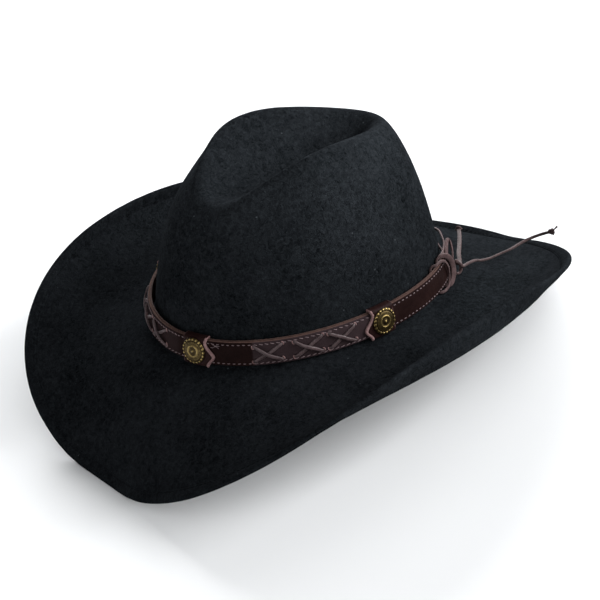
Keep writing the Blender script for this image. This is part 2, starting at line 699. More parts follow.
# ------------------------------------------------------------ band coordinates
# Places on the band are (angle, height up its face, depth out from its back).
WALL_UP = np.linspace(0, 0.6, 61)
WALL_LINES, WALL_SPANS = {}, {}


def wall_at(angle, height):
    key = round(angle, 3)
    if key not in WALL_LINES:
        WALL_LINES[key] = (crown_line(angle * RAD, WALL_UP), *head_oval(angle * RAD))
    line, foot, out = WALL_LINES[key]
    point = sample(height, line[:, 2] - foot[2], line)
    point[2] = foot[2] + height
    return point, out


def wall_span(angle, low, high):
    """The wall's points at two heights, and the way out."""
    key = (round(angle, 3), low, high)
    if key not in WALL_SPANS:
        bottom, out = wall_at(angle, low)
        WALL_SPANS[key] = (bottom, wall_at(angle, high)[0], out)
    return WALL_SPANS[key]


def band(angle, height, depth):
    low = BAND_LIFT - BAND_DROP * (0.5 + 0.5 * math.cos((angle - 10) * RAD)) ** 2
    bottom, top, out = wall_span(angle, low, low + BAND_HEIGHT)
    return to_scene(bottom + (top - bottom) * (height / BAND_HEIGHT) + out * (BAND_STAND + depth))


def inside(angle, height, depth):
    """A place inside the crown: height above the brim's foot, depth in from the felt."""
    low, high = 0.002, 0.032
    bottom, top, out = wall_span(angle, low, high)
    return to_scene(bottom + (top - bottom) * ((height - low) / 0.030)
                    - out * (FELT + 0.00025 + depth))


def degrees_per_m(angle):
    return 1.0 / np.linalg.norm(band(angle + 0.5, 0.01, 0.002) - band(angle - 0.5, 0.01, 0.002))


def band_out(angle):
    return unit(band(angle, 0.0095, 0.002) - band(angle, 0.0095, 0.0))


def local_frame(angle, height, depth):
    """A place on the band, with its ways along, up and out."""
    here = band(angle, height, depth)
    along = Vector(band(angle + 0.5, height, depth) - band(angle - 0.5, height, depth)).normalized()
    up = Vector(band(angle, height + 0.001, depth) - band(angle, height - 0.001, depth)).normalized()
    out = along.cross(up).normalized()
    if out.dot(Vector(band(angle, height, depth + 0.001) - here)) < 0:
        out = -out
    up = out.cross(along).normalized()
    if up.z < 0:
        up = -up
    return Vector(here), along, up, out


GROUPS = [[concho + off for off in offsets] for concho, offsets in zip(CONCHOS[1:], CROSS_OFFSETS)]
HOLES = []
for cross in sum(GROUPS, []):
    half_cross = CROSS_HALF * degrees_per_m(cross)
    HOLES += [(cross + side * half_cross, row) for side in (-1, 1) for row in HOLE_ROWS]
DEG_PER_M = float(np.mean([degrees_per_m(a) for a in range(0, 360, 15)]))


# ------------------------------------------------------------ strap and backing
def laced_at(angle):
    """1 on the laced stretches of the strap, 0 elsewhere."""
    value = 0.0
    for group in GROUPS:
        low, high = group[0] - CROSS_HALF * DEG_PER_M - 0.8, group[-1] + CROSS_HALF * DEG_PER_M + 9.0
        value = max(value, min(1, max(0, (angle - low) / 0.6)) * min(1, max(0, (high - angle) / 2.0)))
    return value


def tint_at(angle):
    """How far the laced stretch is rubbed grey: strongest past the second concho."""
    return laced_at(angle) * (1.0 if angle > CONCHOS[1] else 0.25)


def strap_depth(angle, height):
    """Depth of the strap's face: a soft crown, sunk stitch rows, puckers at the lace holes."""
    depth = FACE + 0.00022 * (1 - ((height / BAND_HEIGHT - 0.5) * 2) ** 2)
    for row in STITCH_ROWS:
        depth -= 0.00022 * bell(height, row, 0.00042)
    for hole_angle, row in HOLES:
        if abs(hole_angle - angle) < 2.2:
            away = math.hypot((hole_angle - angle) / DEG_PER_M, height - row)
            depth += -0.00105 * bell(away, 0, 0.00105) + 0.00016 * bell(away, 0.0021, 0.0007)
    return depth


def strap_section(angle):
    """(height, depth, raw) round the strap; raw is 1 on the cut edges."""
    radius, low, high = 0.00045, 0.0005, BAND_HEIGHT - 0.0007

    def corner(middle, turns):
        return [(middle + radius * math.sin(turn * RAD),
                 FACE - radius + radius * math.cos(turn * RAD), raw) for turn, raw in turns]

    return [(low, BACKING + 0.00002, 1), (low - 0.0001, BACKING + 0.0005, 1),
            *corner(low + radius, ((-90, 1), (-60, 0.35), (-30, 0))),
            *[(h, strap_depth(angle, h), 0) for h in np.linspace(low + radius, high - radius, 34)],
            *corner(high - radius, ((30, 0.1), (60, 0.45), (90, 1))),
            (high + 0.0001, BACKING + 0.0005, 1), (high, BACKING + 0.00002, 1)]


def build_strap():
    stations = np.linspace(*ENDS, BAND_STEPS)
    verts, raw, zone = [], [], []
    for angle in stations:
        section = strap_section(angle)
        verts += [band(angle, height, depth) for height, depth, _ in section]
        raw.append([edge for _, _, edge in section])
        zone += [tint_at(angle)] * len(section)
    verts = np.array(verts)
    shake = noise_at(verts, 0.004, 5.0) * 0.00005
    outs = np.repeat([band_out(angle) for angle in stations], len(section), axis=0)
    raw = np.array(raw, float)
    raw[[0, -1]] = 1.0
    build("hatband_strap", loft(verts + outs * shake[:, None], BAND_STEPS), [STRAP_M], "hatband",
          "hatband_front", {"raw": raw.ravel(), "zone": zone}, sharp=50)


def build_backing():
    """The rough leather behind the strap, its edges nubbed once a stitch."""
    nubs = np.random.default_rng(11).uniform(0.2, 1.0, 400)
    verts = []
    for angle in np.linspace(ENDS[0] - 0.05, ENDS[1] + 0.05, BAND_STEPS):
        run = (angle - ENDS[0]) / DEG_PER_M
        phase = run / 0.0037
        swell = max(0.0, math.cos((phase % 1 - 0.5) * math.pi)) ** 6
        nub = 0.00028 * nubs[int(phase) % 400] * swell
        ripple = 0.00008 * math.sin(run * 1700) + 0.00006 * math.sin(run * 4100 + 1)
        top, low = BAND_HEIGHT - 0.00015 + nub + ripple, -0.00005 - ripple * 0.8 - nub * 0.4
        section = ((low + 0.0002, 0.0), (low, 0.0003), (low, BACKING - 0.0002),
                   (low + 0.0002, BACKING), (0.006, BACKING), (0.013, BACKING),
                   (top - 0.0002, BACKING), (top, BACKING - 0.0002), (top, 0.0003),
                   (top - 0.0002, 0.0), (0.013, 0.0), (0.006, 0.0))
        verts += [band(angle, height, depth) for height, depth in section]
    build("hatband_backing_leather", loft(verts, BAND_STEPS), [BACK_M], "hatband",
          "hatband_backing", {"raw": [0.0] * len(verts)}, sharp=60)


def build_stitches():
    """Two rows of stitches, longer and slanted where the strap is laced."""
    rng = np.random.default_rng(7)
    pitch = 0.0036
    count = int((ENDS[1] - ENDS[0]) / DEG_PER_M / pitch)
    for label, row, slant in (("lower", STITCH_ROWS[0], 1), ("upper", STITCH_ROWS[1], -1)):
        parts = []
        for k in range(2, count - 1):
            start = ENDS[0] + (k * pitch) * DEG_PER_M
            middle = start + 0.001 * DEG_PER_M
            if any(abs(middle - concho) < 0.0072 * DEG_PER_M for concho in CONCHOS):
                continue
            length, tilt = (0.0027, 0.00042) if laced_at(start) > 0.5 else (0.0019, 0.00005)
            jitter = rng.normal(0, 0.00005, 2)[0]
            points = []
            for s in np.linspace(0, 1, 7):
                angle = start + s * length * DEG_PER_M
                depth = strap_depth(angle, row) + 0.00034 * math.sin(math.pi * s) - 0.00012
                points.append(band(angle, row + tilt * slant * (s - 0.5) * 2 + jitter, depth))
            parts.append(tube(points, 0.00062, 0.00050, band_out(start), sides=8, ends=0.45,
                              square=0.9, wobble=0.05, seed=k))
        build(f"hatband_stitches_{label}", merge(parts), [STITCH_M], "hatband",
              f"hatband_stitch_{label}")


# from and to (along from the second concho, height), and bow
LOOSE_ENDS = ((0.0122, 0.0152, 0.0178, 0.0118, 0.0007), (0.0120, 0.0122, 0.0172, 0.0149, -0.0006),
              (0.0150, 0.0134, 0.0186, 0.0136, 0.0004))


def build_loose_thread():
    """Three loose ends of the sewing thread, crossing beside the second keeper."""
    parts = []
    for k, (x_from, low, x_to, high, bow) in enumerate(LOOSE_ENDS):
        points = []
        for s in np.linspace(0, 1, 12):
            arch = math.sin(math.pi * s)
            points.append(band(CONCHOS[1] + (x_from + (x_to - x_from) * s) * DEG_PER_M,
                               low + (high - low) * s + bow * arch,
                               FACE + 0.0004 + 0.0007 * arch + 0.0002 * k))
        parts.append(tube(spline(points, 24), 0.00040, 0.00036, band_out(CONCHOS[1]), sides=6,
                          ends=0.5))
    build("loose_sewing_thread", merge(parts), [STITCH_M], "hatband")


build_strap()
build_backing()
build_stitches()
build_loose_thread()


# ------------------------------------------------------------ laced crosses
def cross_lace(group, place, cross, over):
    """One lace of a cross, slanting from hole to hole, over or under the other."""
    half = CROSS_HALF * degrees_per_m(cross) * 1.04
    start, end = HOLE_ROWS[0] - 0.0006, HOLE_ROWS[1] + 0.0006
    if over:
        start, end = end, start
    top = 0.00225 if over else 0.00105
    path = []
    for s in (-0.02, 0.0, 0.06, 0.16, 0.32, 0.5, 0.68, 0.84, 0.94, 1.0, 1.02):
        arch = max(0.0, math.sin(math.pi * min(1, max(0, s))))
        if s < 0 or s > 1:
            lift = -0.0012
        else:
            rise = min(1, min(s, 1 - s) / 0.06 + 0.05)
            lift = -0.0002 + (0.0009 + (top - 0.0007) * arch ** 1.3) * rise
        sway = 0.00035 * math.sin(s * 7 + place * 2 + group) * arch
        path.append(band(cross - half + 2 * half * s, start + (end - start) * s + sway,
                         FACE + lift + (0.0001 if over else 0.0)))
    count = 46
    wide = 0.00155 + 0.00070 * np.sin(np.linspace(0, math.pi, count)) ** 0.7
    if not over:
        wide = wide - 0.0004 * bell(np.linspace(0, 1, count), 0.5, 0.12)
    return tube(spline(path, count), wide, 0.0013, band_out(cross), sides=14, ends=0.5,
                square=0.7, wobble=0.06, seed=group * 10 + place * 2 + over,
                twist=0.22 * np.sin(np.linspace(0, 5, count) + place + group))


def hole_curl(group, place, cross, side, row):
    """A small pale curl of lace round one hole."""
    angle = cross + side * CROSS_HALF * degrees_per_m(cross) * 1.03
    rng = np.random.default_rng(int(1000 + place * 10 + group * 100 + side + row * 1e4))
    lean = rng.uniform(0.2, 0.9) * (1 if row > 0.009 else -1)
    points = []
    for s in np.linspace(0, 1, 6):
        turn = (s * 2.6 - 0.6) + (0 if side > 0 else math.pi)
        points.append(band(angle + (0.00105 * math.cos(turn)) * DEG_PER_M,
                           row + (0.0014 * math.sin(turn)) + 0.0004 * lean,
                           FACE - 0.0001 + 0.0005 * math.sin(math.pi * s)))
    return tube(spline(points, 16), 0.00075, 0.0007, band_out(angle), sides=8, ends=0.4, square=0.9)


for number, group in enumerate(GROUPS, 1):
    laces = [cross_lace(number, place, cross, over)
             for place, cross in enumerate(group) for over in (False, True)]
    build(f"lace_crosses_{number}", merge(laces), [CROSS_M], "hatband",
          f"lace_cross_{number}")
    curls = [hole_curl(number, place, cross, side, row)
             for place, cross in enumerate(group) for side in (-1, 1) for row in HOLE_ROWS]
    build(f"lace_hole_edges_{number}", merge(curls), [LACE_PALE], "hatband")

# ------------------------------------------------------------ keepers
KEEPER_TOP, KEEPER_LOW = BAND_HEIGHT + 0.0014, -0.0013
KEEPER_FRONT, KEEPER_BACK = FACE + 0.00185, -0.0012
KEEPER_HALF, SHAPED_FROM = 0.0086, 0.0088
# shaped edge: share of the way down, mm it stands out
OGEE = ((0.0, 0.0), (0.10, -0.9), (0.20, -1.5), (0.30, -0.6), (0.42, 1.4), (0.52, 3.3),
        (0.60, 4.6), (0.66, 4.7), (0.74, 3.4), (0.84, 1.5), (0.93, 0.5), (1.0, 0.3))


def ogee(down):
    """How far the softened shaped edge stands out, in metres."""
    at, value = zip(*OGEE)
    softening = ((-0.06, 0.15), (-0.03, 0.2), (0, 0.3), (0.03, 0.2), (0.06, 0.15))
    return sum(0.001 * float(np.interp(down + shift, at, value)) * share
               for shift, share in softening)


def keeper_outline():
    """(height, depth, normal's height, normal's depth) round the loop."""
    loop = []

    def corner(height, depth, radius, start):
        for turn in np.linspace(start, start - 90, 7) * RAD:
            up, out = math.cos(turn), math.sin(turn)
            loop.append((height + radius * up, depth + radius * out, up, out))

    big, small = 0.0019, 0.0009
    for height in np.linspace(KEEPER_LOW + big, KEEPER_TOP - big, 30)[:-1]:
        loop.append((height, KEEPER_FRONT, 0.0, 1.0))
    corner(KEEPER_TOP - big, KEEPER_FRONT - big, big, 90)
    corner(KEEPER_TOP - small, KEEPER_BACK + small, small, 0)
    for height in np.linspace(KEEPER_TOP - small, KEEPER_LOW + small, 8)[1:-1]:
        loop.append((height, KEEPER_BACK, 0.0, -1.0))
    corner(KEEPER_LOW + small, KEEPER_BACK + small, small, -90)
    corner(KEEPER_LOW + big, KEEPER_FRONT - big, big, 180)
    return loop


def keeper_loop(number, angle, side):
    """A leather loop round the strap; side 1 has the shaped edge towards growing angles."""
    turn = degrees_per_m(angle)
    tall, wall, across = KEEPER_TOP - KEEPER_LOW, 0.0013, 18
    loop = keeper_outline()
    verts, raw = [], []
    for height, depth, up, out in loop:
        down = 1 - (height - KEEPER_LOW) / tall
        if depth <= FACE * 0.5:
            down = 0.0 if height > 0.01 else 1.0
        shaped = SHAPED_FROM + ogee(down)
        ends = (-KEEPER_HALF, shaped) if side > 0 else (-shaped, KEEPER_HALF)
        places = np.linspace(*ends, across + 1)
        swell = 0.00025 * (1 - ((height / BAND_HEIGHT - 0.5) * 2) ** 2) if out > 0.5 else 0.0
        for k, x in enumerate(places):
            edge = min(k, across - k)
            droop = {0: 0.00035, 1: 0.00008}.get(edge, 0.0) * max(out, 0)
            verts.append(band(angle + x * turn, height, depth + swell - droop))
            raw.append(0.0 if edge else 0.55)
        inner_height, inner_depth = height - up * wall, depth - out * (wall if out >= 0 else 0.0006)
        for x in places[::-1]:
            verts.append(band(angle + x * turn, inner_height, inner_depth + swell))
            raw.append(1.0)
    build(f"keeper_loop_{number}", loft(verts, len(loop), closed=True), [KEEPER_M], "hatband",
          f"keeper_{number}", {"raw": raw}, sharp=38)


def keeper_lip(number, angle, side):
    """The raw cut face of the shaped edge, as a slim rounded lip."""
    turn = degrees_per_m(angle)
    lip = []
    for down in np.linspace(-0.02, 1.02, 40):
        height = KEEPER_TOP - (KEEPER_TOP - KEEPER_LOW) * down
        x = (SHAPED_FROM + ogee(down) + 0.00015) * side
        curve = 0.0007 * max(0.0, 0.06 - down, down - 0.94) / 0.08
        lip.append(band(angle + x * turn,
                        min(KEEPER_TOP - 0.0003, max(KEEPER_LOW + 0.0003, height)),
                        KEEPER_FRONT - 0.00062 - curve))
    shape = tube(spline(lip, 90), 0.00185, 0.00190, band_out(angle), sides=12, ends=0.4,
                 square=0.7, wobble=0.04, seed=number)
    build(f"keeper_cut_edge_{number}", shape, [LACE_PALE], "hatband")


for number, angle in enumerate(CONCHOS, 1):
    shaped_side = -1 if number == 1 else 1
    keeper_loop(number, angle, shaped_side)
    keeper_lip(number, angle, shaped_side)

# ------------------------------------------------------------ conchos
LOBES, BEADS = 20, 24


def concho_height(r, lobe, bead):
    """Millimetres above the seat, at a share r of the radius."""
    z = 0.80 + 1.15 * (1 - r ** 2)
    z -= 0.22 * bell(r, 0.79, 0.035)
    z += bell(r, 0.90, 0.080, 4) * (0.32 * lobe ** 0.45 - 0.04)
    z += 0.26 * bell(r, 0.42, 0.050) * (0.70 + 0.30 * bead)
    z -= 0.26 * bell(r, 0.25, 0.085)
    z += 0.46 * bell(r, 0, 0.080, 4)
    z -= 0.45 * max(0.0, (r - 0.955) / 0.045) ** 2
    return z


def concho_wear(r, lobe, bead):
    """How far it is rubbed bright, 0 to 1 or so."""
    value = 0.40 - 0.34 * bell(r, 0.79, 0.04)
    value += 0.36 * bell(r, 0.90, 0.085, 4) * (lobe ** 1.1)
    value -= 0.20 * bell(r, 0.90, 0.10, 4) * (1 - lobe) ** 1.2
    value += 0.40 * bell(r, 0.42, 0.050) * (0.55 + 0.45 * bead)
    value += 0.60 * bell(r, 0, 0.08, 4)
    value -= 0.30 * bell(r, 0.22, 0.08) + 0.10 * bell(r, 0.60, 0.12)
    return value


def turned(faces, verts, way):
    """The faces, all turned round if the first looks away from way."""
    first, second, third = verts[faces[0][:3]]
    facing = np.dot(np.cross(second - first, third - first), np.array(way)) > 0
    return faces if facing else [face[::-1] for face in faces]


def concho(number, angle):
    here, along, up, out = local_frame(angle, BAND_HEIGHT / 2, 0)
    seat = FACE + 0.0021
    sides = 320
    shares = np.concatenate([np.linspace(start, end, count)[1:] for start, end, count in
                             ((0.0, 0.14, 7), (0.14, 0.52, 16), (0.52, 0.76, 8), (0.76, 1.0, 16))])
    # the underside and the post: share of the radius, mm above the seat
    under = ((1.0, 0.20), (0.975, 0.0), (0.90, 0.02), (0.60, 0.30), (0.22, 0.35), (0.215, -1.9))
    turns = np.linspace(0, 2 * math.pi, sides, endpoint=False)
    lobes, beads = [0.5 + 0.5 * np.cos(count * turns) for count in (LOBES, BEADS)]
    verts = [here + out * (seat + 0.001 * concho_height(0, 0, 0))]
    high = [0.95]

    def point(r, k, z):
        radius = CONCHO_R * r * (1 - 0.026 * max(0, (r - 0.7) / 0.3) * (1 - lobes[k]))
        return (here + along * (radius * math.cos(turns[k])) + up * (radius * math.sin(turns[k]))
                + out * (seat + 0.001 * z))

    for r in shares:
        for k in range(sides):
            verts.append(point(r, k, concho_height(r, lobes[k], beads[k])))
            high.append(concho_wear(r, lobes[k], beads[k]))
    for r, z in under:
        verts += [point(r, k, z) for k in range(sides)]
        high += [0.1] * sides
    verts = np.array([list(v) for v in verts])
    rings = len(shares) + len(under)
    fan = [[0, 1 + k, 1 + (k + 1) % sides] for k in range(sides)]
    quads = [[1 + i for i in face] for face in grid_faces(rings, sides)]
    end = [[1 + (rings - 1) * sides + k for k in range(sides)]]
    faces = turned(fan, verts, out) + turned(quads, verts, out) + turned(end, verts, -out)
    build(f"concho_button_{number}", (verts, faces), [BRASS_M], f"concho_body_{number}",
          f"concho_{number}", {"high": high}, sharp=60)


for number, angle in enumerate(CONCHOS, 1):
    concho(number, angle)
    repaint(f"concho_screw_{number}", SCREW_M)

# ------------------------------------------------------------ the tie: laces round the strap's ends
FAR = ENDS[0] + 360


def flat_lace(points, wide, thick, count, seed, twist=0.0):
    """A lace through (angle, height mm, depth mm); wide and thick in mm, twist in radians."""
    path = spline([band(angle, h / 1000, d / 1000) for angle, h, d in points], count)
    nearest = [int(round(at)) for at in np.linspace(0, len(points) - 1, count)]
    outs = np.array([band_out(points[k][0]) for k in nearest])
    for _ in range(6):
        outs[1:-1] = (outs[:-2] + 2 * outs[1:-1] + outs[2:]) / 4
    return tube(path, ease(wide, count) / 1000, thick / 1000, outs, sides=14, ends=0.5,
                square=0.62, wobble=0.05, seed=seed, twist=ease(twist, count))


TIE_LACES = (
    # along the crown behind the strap's top edge, all the way to the other end
    dict(wide=2.0, thick=1.25, count=170, seed=1, points=(
        (129.6, 14.0, -1.3), (130.2, 17.0, -1.0), (131.6, 18.7, 0.2), (134, 18.7, 0.9),
        (138, 18.2, 0.9), (143, 18.6, 1.2), (147, 18.8, 1.2), (152, 19.0, 0.9), (158, 18.6, 1.3),
        (163, 17.2, 1.6), (167, 15.2, 2.3), (FAR - 1, 13.0, 3.9), (FAR + 2.4, 13.6, 4.0),
        (FAR + 4.2, 18.2, 3.6), (FAR + 4.6, 20.2, 1.4), (FAR + 4.4, 18.8, -1.0),
        (FAR + 4.2, 15.0, -1.5))),
    # the arc over the strap's top edge, down its face and under its foot
    dict(wide=1.9, thick=1.45, count=180, seed=2, points=(
        (120.9, 12.0, -1.4), (121.0, 16.6, -1.2), (121.6, 18.7, 0.2), (122.4, 19.0, 1.9),
        (124.2, 19.3, 2.7), (127.0, 18.8, 3.3), (129.6, 16.5, 4.2), (131.3, 12.6, 4.7),
        (132.4, 9.6, 4.5), (133.0, 5.4, 4.1), (132.2, 1.4, 3.9), (130.0, -1.0, 4.0),
        (127.6, -1.9, 3.3), (125.2, -1.9, 2.2), (124.0, -1.4, 0.4), (123.8, 0.2, -1.0),
        (123.8, 4.0, -1.4))),
    # the broad lace wound round the end
    dict(wide=(2.2, 2.6, 3.4, 3.9, 4.0, 4.0, 3.9, 3.4, 2.8, 2.4, 2.2), thick=1.4, count=150,
         twist=(0, 0.2, 0.55, 0.8, 0.85, 0.75, 0.4, 0), seed=3, points=(
        (128.8, 15.0, -1.3), (129.4, 17.6, -0.9), (130.8, 18.8, 0.9), (132.6, 18.6, 2.6),
        (134.6, 16.4, 4.3), (136.4, 12.4, 5.5), (137.2, 7.2, 6.0), (136.4, 2.8, 5.9),
        (134.4, -0.4, 5.2), (132.4, -2.2, 3.8), (131.2, -1.9, 1.2), (130.8, 0.0, -0.9),
        (130.8, 4.0, -1.4))),
    # a second turn under it, further along
    dict(wide=2.4, thick=1.3, count=120, twist=(0.3, 0.2, -0.2, 0), seed=4, points=(
        (131.6, 14.0, -1.0), (132.4, 17.4, 0.0), (134.4, 16.2, 2.4), (136.6, 12.4, 3.6),
        (138.0, 8.0, 4.1), (138.0, 3.6, 4.2), (136.6, 0.0, 3.9), (135.2, -1.6, 2.4),
        (134.6, -1.2, 0.4), (134.6, 2.0, -1.2))),
    # a loop left standing past the end: one broad strand, and its thinner return
    dict(wide=(2.8, 3.0, 3.2, 3.0, 2.4, 1.8, 1.5, 1.5, 1.6, 1.8), thick=1.3, count=130,
         twist=(-0.4, -0.8, -1.0, -0.9, -0.5, -0.3, -0.2), seed=5, points=(
        (138.6, 10.0, 2.6), (140.2, 13.4, 2.2), (142.6, 15.9, 2.2), (145.4, 17.4, 2.6),
        (148.0, 18.4, 3.5), (149.4, 18.4, 4.4), (149.2, 17.2, 5.2), (147.6, 15.2, 5.7),
        (145.2, 13.0, 5.9), (142.4, 10.9, 5.8), (140.2, 7.6, 5.2))),
    # the lower lace, round the back to the strap's other end and down under it
    dict(wide=2.1, thick=1.25, count=170, seed=8, points=(
        (139.4, 4.0, 3.2), (143.0, 3.8, 2.9), (148.0, 3.0, 2.2), (156.0, 2.6, 1.8),
        (164.0, 3.4, 2.0), (FAR - 2.4, 4.8, 3.4), (FAR + 1.0, 5.2, 4.1), (FAR + 3.4, 1.2, 4.0),
        (FAR + 4.1, -1.3, 2.4), (FAR + 4.3, -1.2, 0.2), (FAR + 4.3, 0.6, -1.1),
        (FAR + 4.3, 8.0, -1.4), (FAR + 4.2, 12.0, -1.4))),
)
build("tie_wrap", merge([flat_lace(**lace) for lace in TIE_LACES]), [LACE_M], "hatband",
      "tie_lace")

KNOT, KNOT_ALONG, KNOT_UP, KNOT_OUT = local_frame(ENDS[1] + 5.2, 0.0050, 0.0074)
LACE_HINT = np.array([0.15, -0.2, 1.0])


def from_knot(along, up, out):
    """A point in millimetres along, up and out from the middle of the tie."""
    return np.array(KNOT + (KNOT_ALONG * along + KNOT_UP * up + KNOT_OUT * out) * 0.001)


def knot_lump(centre, axis, size, seed, lace=0.0016):
    """A small overhand knot: a lace wound round itself, closed in the middle."""
    axis = unit(np.asarray(axis, float))
    other = unit(np.cross(axis, [0.2, 0.1, 1.0]))
    third = np.cross(axis, other)
    s = np.linspace(0, 1, 110)
    turn = 2.4 * 2 * math.pi * s
    radius = size * (0.62 + 0.16 * np.sin(turn * 1.5 + seed))
    along = size * 0.55 * np.cos(turn * 0.5 + 0.6) * np.sin(math.pi * s) ** 0.3
    path = (centre + axis * along[:, None] + other * (radius * np.cos(turn))[:, None]
            + third * (radius * np.sin(turn))[:, None])
    winding = tube(path, lace, lace * 0.72, path - centre, sides=12, ends=0.5, square=0.7,
                   wobble=0.06, seed=seed)
    core_path = [centre + axis * x for x in np.linspace(-size * 0.62, size * 0.62, 9)]
    core = tube(core_path, size * 1.15, size * 1.15, other, sides=14, ends=0.5, wobble=0.05,
                seed=seed + 1)
    return [winding, core]


def build_knot():
    """The knot, with the short lace's small loop coming out from under the strap."""
    hook = spline([band(136.8, 0.0058, 0.0042), band(138.8, 0.0036, 0.0044),
                   band(140.8, 0.0012, 0.0052), from_knot(-2.6, -6.2, -1.2),
                   from_knot(-1.7, -7.3, 0.0), from_knot(-0.3, -6.9, 1.4),
                   from_knot(1.4, -5.4, 2.3), from_knot(3.7, -4.1, 2.5)], 60)
    loop = tube(hook, ease([1.9, 1.9, 2.1, 2.6], 60) / 1000, 0.0014, LACE_HINT, sides=12, ends=0.5,
                square=0.66, wobble=0.07, seed=15, twist=ease([0.4, -0.3, 0.1], 60))
    lump = knot_lump(from_knot(-0.2, 0.2, -0.4), np.array(KNOT_UP * 0.8 + KNOT_ALONG * 0.5),
                     size=0.0019, seed=3, lace=0.0020)
    build("tie_knot_lump", merge(lump + [loop]), [LACE_M], "hatband", "tie_knot")


def brim_above(angle, away, lift):
    """A point over the brim, a distance along it from its foot and a lift above it."""
    at = angle / 360 * AROUND
    row, share = int(math.floor(at)) % AROUND, at - math.floor(at)
    first, second = [sample(away, arc_length(line), line) for line in
                     (GRID[row, FOOT_COL:], GRID[(row + 1) % AROUND, FOOT_COL:])]
    return first * (1 - share) + second * share + np.array([0, 0, lift])


TAIL_N = 170


def tail(label, path, wide, thick, knot_size, twist, seed, frayed):
    """A lace end lying on the brim, knotted, with frayed ends (sideways, up, length, swell)."""
    line = spline(path, TAIL_N)
    parts = [tube(line, wide, thick, LACE_HINT, sides=12, ends=0.5, square=0.66, wobble=0.07,
                  seed=seed, twist=twist)]
    way = unit(line[-1] - line[-6])
    centre = line[-1] + way * knot_size * 0.6
    parts += knot_lump(centre, way, knot_size, seed + 4)
    side = np.cross(way, [0, 0, 1.0])
    for k, (sideways, up, length, swell) in enumerate(frayed):
        end = [centre + way * knot_size * 0.4,
               centre + way * knot_size * 1.3 + side * sideways * 0.4 + np.array([0, 0, up * 0.4]),
               centre + way * (knot_size * 1.3 + length) + side * sideways + np.array([0, 0, up])]
        girth = 0.0011 + swell * np.linspace(0, 1, 24) ** 5
        parts.append(tube(spline(end, 24), girth, girth * 0.8, LACE_HINT, sides=10, ends=0.6,
                          square=0.8, wobble=0.06, seed=k))
    build(f"tail_{label}_lace", merge(parts), [TAIL_M], f"tail_{label}_body",
          f"tie_tail_{label}")


# angle, distance out along the brim, lift
LONG_WAY = ((142.6, 0.0151, 0.0097), (147.0, 0.0188, 0.0088), (151.8, 0.0247, 0.0075),
            (154.3, 0.0299, 0.0056), (157.0, 0.0372, 0.0047), (160.4, 0.0469, 0.0045),
            (162.6, 0.0572, 0.0052), (165.6, 0.0698, 0.0062), (166.3, 0.0779, 0.0075),
            (165.2, 0.0850, 0.0095), (163.4, 0.0880, 0.0110))
SHORT_WAY = ((148.4, 0.0135, 0.0076), (151.5, 0.0140, 0.0074), (157.5, 0.0159, 0.0076),
             (164.5, 0.0210, 0.0077), (169.8, 0.0266, 0.0080), (175.8, 0.0354, 0.0090),
             (180.2, 0.0436, 0.0104))

build_knot()
tail("long", [from_knot(-1.6, 1.4, -0.6), from_knot(-1.9, 0.0, 1.6), from_knot(-3.0, -1.2, 3.3)]
     + [brim_above(*place) for place in LONG_WAY], wide=0.0020, thick=0.0015, knot_size=0.0021,
     twist=0.5 * np.sin(np.linspace(0, 9, TAIL_N)), seed=14,
     frayed=((-0.0006, 0.0026, 0.0030, 0.0009), (0.0003, -0.0026, -0.0012, 0.0004)))
tail("short", [from_knot(2.8, -4.5, 2.45), from_knot(3.9, -4.0, 2.5)]
     + [brim_above(*place) for place in SHORT_WAY],
     wide=ease([2.5, 2.9, 3.0, 3.0, 3.0, 2.8, 2.8], TAIL_N) / 1000, thick=0.0014,
     knot_size=0.0020, twist=ease([0.1, 0.2, -0.15, 0.1], TAIL_N), seed=15,
     frayed=((0.0024, -0.0012, -0.0014, 0.0004), (-0.0024, -0.0012, -0.0014, 0.0004)))

# ------------------------------------------------------------ sweatband and small parts inside
ALL_ROUND = np.linspace(0, 360, 361)[:-1]
# height, depth in from the felt
SWEATBAND = ((0.006, 0.00035), (0.006, 0.00095), (0.0012, 0.00095), (0.0012, 0.0029),
             (0.012, 0.0029), (0.022, 0.0029), (0.031, 0.0029), (0.031, 0.0039),
             (0.022, 0.0039), (0.012, 0.0039), (0.0003, 0.0039), (0.0003, 0.00035))
SWEAT_STITCH_ROW = 0.0080


def round_section(points):
    """The corners of a closed outline rounded off a little."""
    rounded = []
    for k in range(len(points)):
        before, corner, after = [np.array(points[i % len(points)]) for i in (k - 1, k, k + 1)]
        back, ahead = before - corner, after - corner
        back_long, ahead_long = np.linalg.norm(back), np.linalg.norm(ahead)
        cut = min(0.00035, back_long * 0.4, ahead_long * 0.4)
        start, end = corner + back / back_long * cut, corner + ahead / ahead_long * cut
        for s in (0.0, 0.5, 1.0):
            rounded.append((1 - s) ** 2 * start + 2 * s * (1 - s) * corner + s * s * end)
    return rounded


def build_sweatband():
    section = round_section(SWEATBAND)
    phase = np.random.default_rng(21).uniform(0, 6.28, 5)
    verts, raw = [], []
    for angle in ALL_ROUND:
        turn = angle * RAD
        lean = (0.00030 * math.sin(5 * turn + phase[0]) + 0.00022 * math.sin(11 * turn + phase[1])
                + 0.00015 * math.sin(23 * turn + phase[2]))
        ripple = 0.0002 * math.sin(7 * turn + phase[3])
        for height, depth in section:
            loose = max(0.0, (height - 0.008) / 0.023) * (1 if depth > 0.002 else 0)
            groove = 0.00016 * bell(height, SWEAT_STITCH_ROW, 0.0006) if depth > 0.0035 else 0.0
            verts.append(inside(angle, height + loose * ripple,
                                depth + loose * abs(lean) * 0.8 - groove))
            raw.append(1.0 if height > 0.0303 else 0.0)
    build("sweatband_leather_band", loft(verts, len(ALL_ROUND), closed=True), [SWEAT_M], "hat",
          "sweatband", {"raw": raw}, sharp=60)


